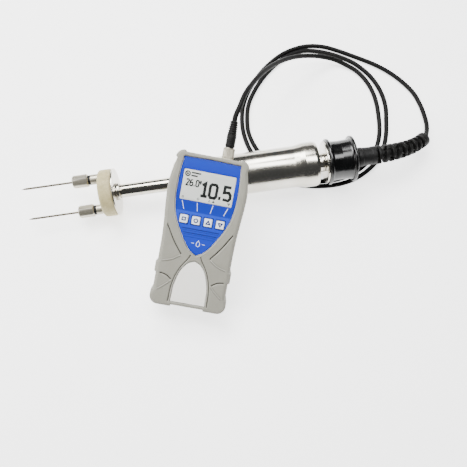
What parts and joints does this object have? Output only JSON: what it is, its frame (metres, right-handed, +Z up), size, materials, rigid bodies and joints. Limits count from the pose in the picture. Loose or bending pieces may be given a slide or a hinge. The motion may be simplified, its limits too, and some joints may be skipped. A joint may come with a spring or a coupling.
{
  "type": "moisture meter",
  "caption": "Handheld wood moisture meter in a rubber sleeve, leaning on its ram-in slide-hammer electrode and joined to it by a looped cable.",
  "frame": {"origin": "on the floor, under the middle of the meter and electrode without the cable", "axes": "+X along the electrode from its pins to its cable end, +Z up, +Y away from the user"},
  "size_m": [0.4443, 0.3021, 0.0885],
  "materials": {
    "sleeve_rubber": "matt moulded rubber",
    "shell_plastic": "moulded ABS, fine texture",
    "black_rubber": "matt moulded rubber",
    "face_film": "printed polyester film, satin",
    "display_glass": "clear pane",
    "lcd": "reflective display glass",
    "circuit_board": "solder-masked glass-epoxy",
    "key_plastic": "moulded, satin",
    "black_plastic": "moulded, semi-gloss",
    "steel_screws": "zinc-plated",
    "battery_cell": "printed can",
    "contact_brass": "pressed strip",
    "nickel_plate": "bright nickel",
    "stainless_steel": "turned stainless",
    "insulator": "turned PEEK-like plastic",
    "bush_bronze": "sintered bronze",
    "cable_jacket": "PVC jacket, satin black"
  },
  "bodies": {
    "instrument": {"rear_pin": "stainless_steel", "rear_sealing_ring": "black_rubber", "rear_stud": "stainless_steel", "front_pin": "stainless_steel", "front_sealing_ring": "black_rubber", "front_stud": "stainless_steel", "insulating_head": "insulator", "head_back_plate": "stainless_steel", "lock_collar": "stainless_steel", "rod_tube": "stainless_steel", "inner_lead": "cable_jacket", "stop_collar": "stainless_steel", "end_washer": "stainless_steel", "end_cap": "black_plastic", "gland_nut": "black_plastic", "gland_sleeve": "black_plastic", "strain_relief": "black_rubber", "protective_sleeve": "sleeve_rubber", "front_shell": "shell_plastic", "back_shell": "shell_plastic", "housing_seal": "black_rubber", "housing_screw_1": "steel_screws", "housing_screw_2": "steel_screws", "housing_screw_3": "steel_screws", "housing_screw_4": "steel_screws", "face_plate": "face_film", "display_window": "display_glass", "lcd_module": "lcd", "main_board": "circuit_board", "key_select_switch": "black_plastic", "key_power_switch": "black_plastic", "key_up_switch": "black_plastic", "key_down_switch": "black_plastic", "battery_1": "battery_cell", "battery_2": "battery_cell", "battery_3": "battery_cell", "battery_4": "battery_cell", "contact_strip_low": "contact_brass", "contact_strip_high": "contact_brass", "panel_socket": "nickel_plate", "socket_nut": "steel_screws", "plug_insert": "black_plastic", "plug_barrel": "black_plastic", "plug_boot": "black_rubber", "cable": "cable_jacket"},
    "hammer": {"slide_hammer": "stainless_steel", "front_bush": "bush_bronze", "rear_bush": "bush_bronze"},
    "door": {"battery_door": "shell_plastic"},
    "plug_ring_body": {"plug_ring": "nickel_plate"},
    "rear_nut": {"rear_cap_nut": "nickel_plate"},
    "front_nut": {"front_cap_nut": "nickel_plate"},
    "key_select_body": {"key_select": "key_plastic"},
    "key_power_body": {"key_power": "key_plastic"},
    "key_up_body": {"key_up": "key_plastic"},
    "key_down_body": {"key_down": "key_plastic"}
  },
  "joints": [
    {"name": "hammer_slide", "type": "slide", "parent": "instrument", "child": "hammer", "axis": [0.9997, 0, 0.0236], "range_m": [-0.057, 0]},
    {"name": "battery_door_slide", "type": "slide", "parent": "instrument", "child": "door", "axis": [-0.3122, -0.8782, -0.3623], "range_m": [0, 0.003]},
    {"name": "plug_ring_turn", "type": "hinge", "parent": "instrument", "child": "plug_ring_body", "pos_m": [-0.003, 0.06148, 0.07036], "axis": [0.3122, 0.8782, 0.3623], "continuous": true},
    {"name": "rear_nut_turn", "type": "hinge", "parent": "instrument", "child": "rear_nut", "pos_m": [-0.15542, 0.07092, 0.03152], "axis": [0.9997, 0, 0.0236], "continuous": true},
    {"name": "front_nut_turn", "type": "hinge", "parent": "instrument", "child": "front_nut", "pos_m": [-0.15505, 0.04372, 0.01582], "axis": [0.9997, 0, 0.0236], "continuous": true},
    {"name": "key_select_press", "type": "slide", "parent": "instrument", "child": "key_select_body", "axis": [0.0218, 0.3746, -0.9269], "range_m": [0, 0.0008], "stiffness_N_per_m": 400},
    {"name": "key_power_press", "type": "slide", "parent": "instrument", "child": "key_power_body", "axis": [0.0218, 0.3746, -0.9269], "range_m": [0, 0.0008], "stiffness_N_per_m": 400},
    {"name": "key_up_press", "type": "slide", "parent": "instrument", "child": "key_up_body", "axis": [0.0218, 0.3746, -0.9269], "range_m": [0, 0.0008], "stiffness_N_per_m": 400},
    {"name": "key_down_press", "type": "slide", "parent": "instrument", "child": "key_down_body", "axis": [0.0218, 0.3746, -0.9269], "range_m": [0, 0.0008], "stiffness_N_per_m": 400}
  ]
}
